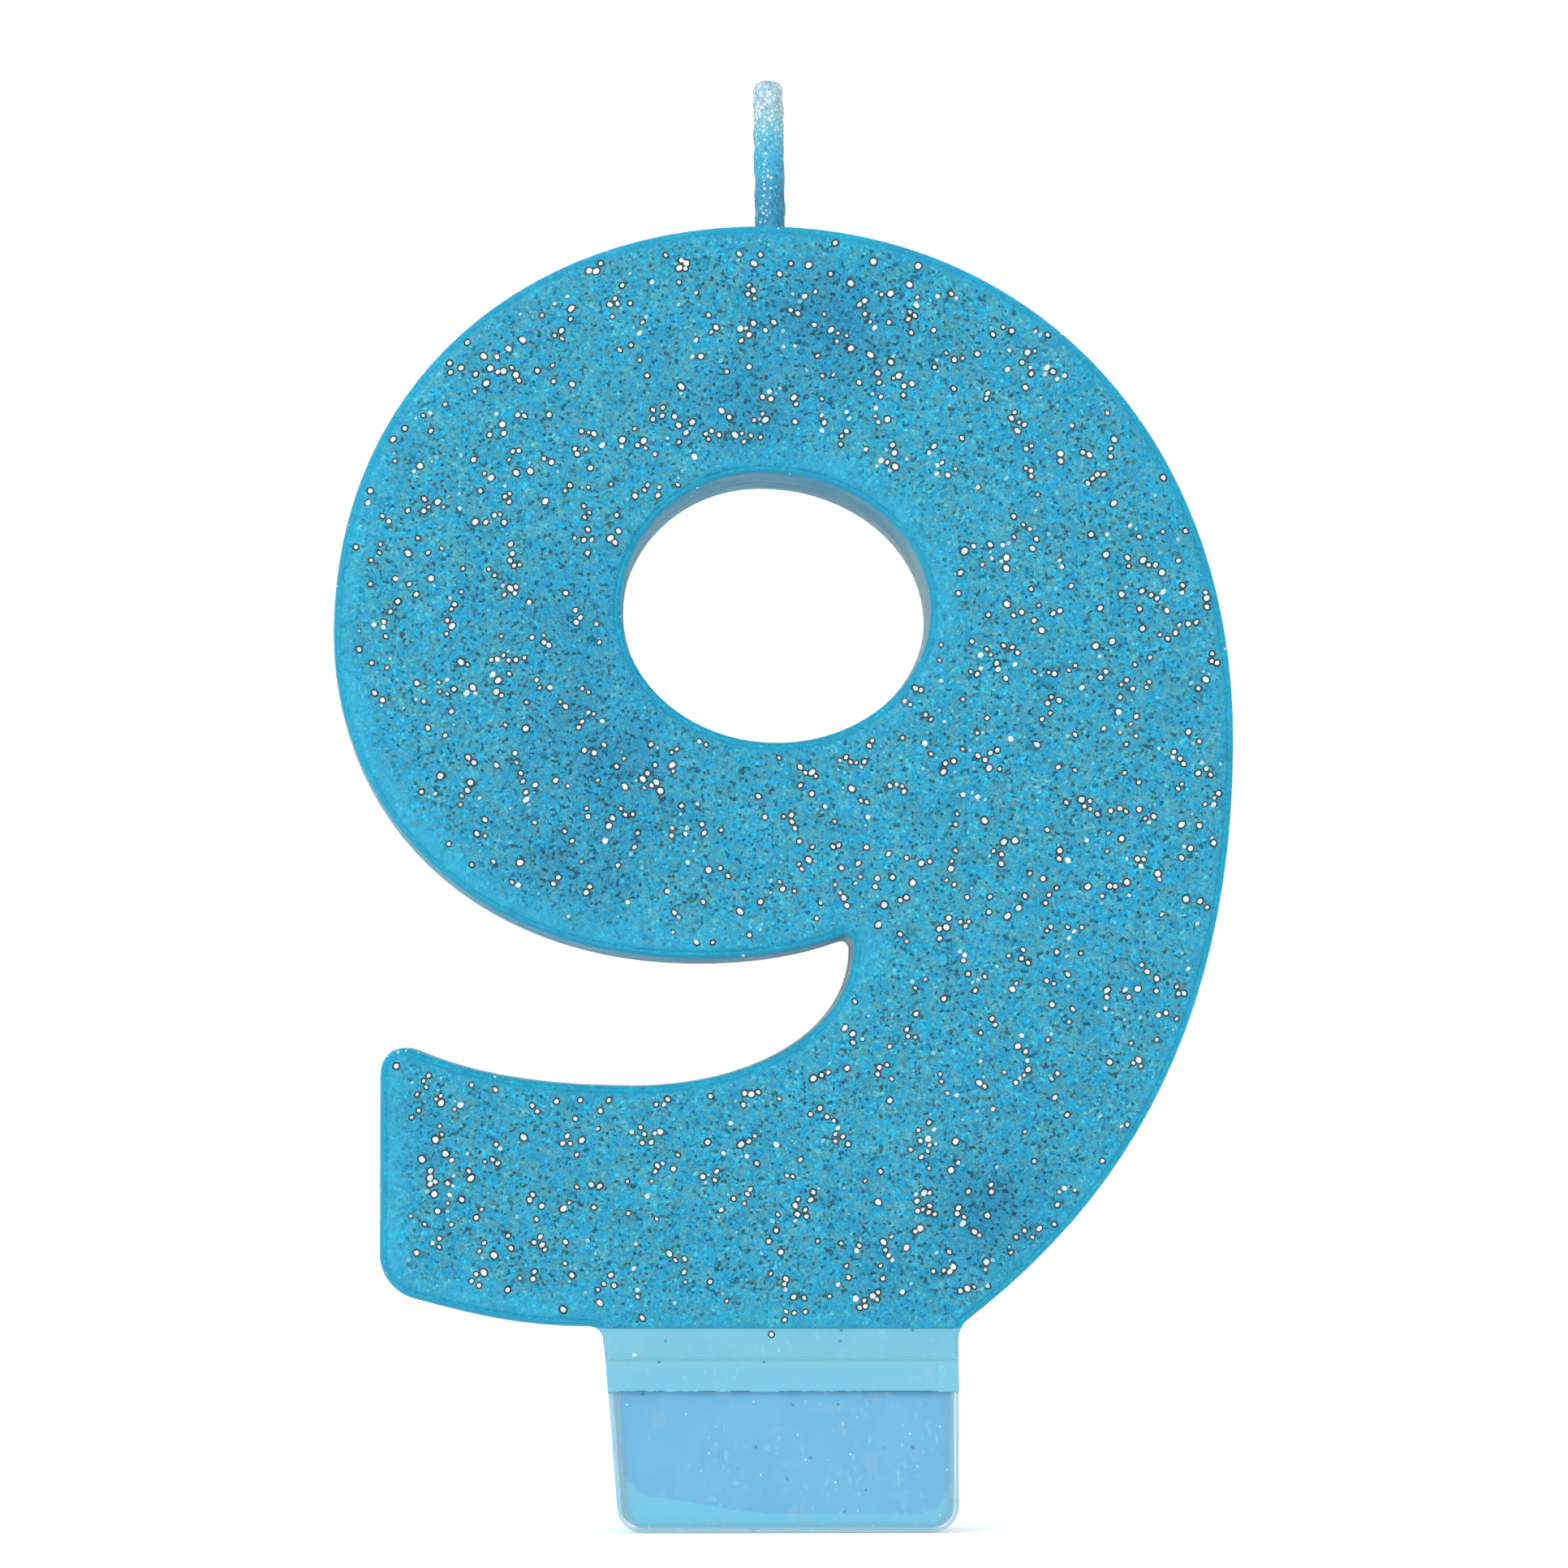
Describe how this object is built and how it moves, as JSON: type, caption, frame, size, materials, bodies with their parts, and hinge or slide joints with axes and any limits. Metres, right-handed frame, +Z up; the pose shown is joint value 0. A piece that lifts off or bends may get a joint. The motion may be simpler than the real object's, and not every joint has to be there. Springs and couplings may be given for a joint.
{
  "type": "number birthday candle",
  "caption": "Flat birthday candle shaped like the digit 9, with blue glitter coats, a short stiff wick on top and a film-wrapped foot that pushes into a cake.",
  "frame": {"origin": "middle of the underside of the foot, directly below the middle of the numeral's width and thickness", "axes": "+X to the right across the numeral as it is read from the front, +Y towards the back, +Z up along the wick; the front with the readable 9 faces -Y"},
  "size_m": [0.051, 0.0104, 0.0829],
  "materials": {
    "wax": "smooth light-blue candle wax, slightly translucent",
    "glitter": "fine blue glitter with scattered coarse white flakes",
    "film": "thin clear film, glossy",
    "wick_thread": "braided cotton",
    "glittered_wax": "blue wax with fine iridescent glitter"
  },
  "bodies": {
    "root": {"wax_body": "wax", "front_glitter_coat": "glitter", "back_glitter_coat": "glitter", "foot_film": "film", "wick_core": "wick_thread", "wick_braid": "wick_thread", "wick_skin": "glittered_wax"}
  },
  "joints": []
}
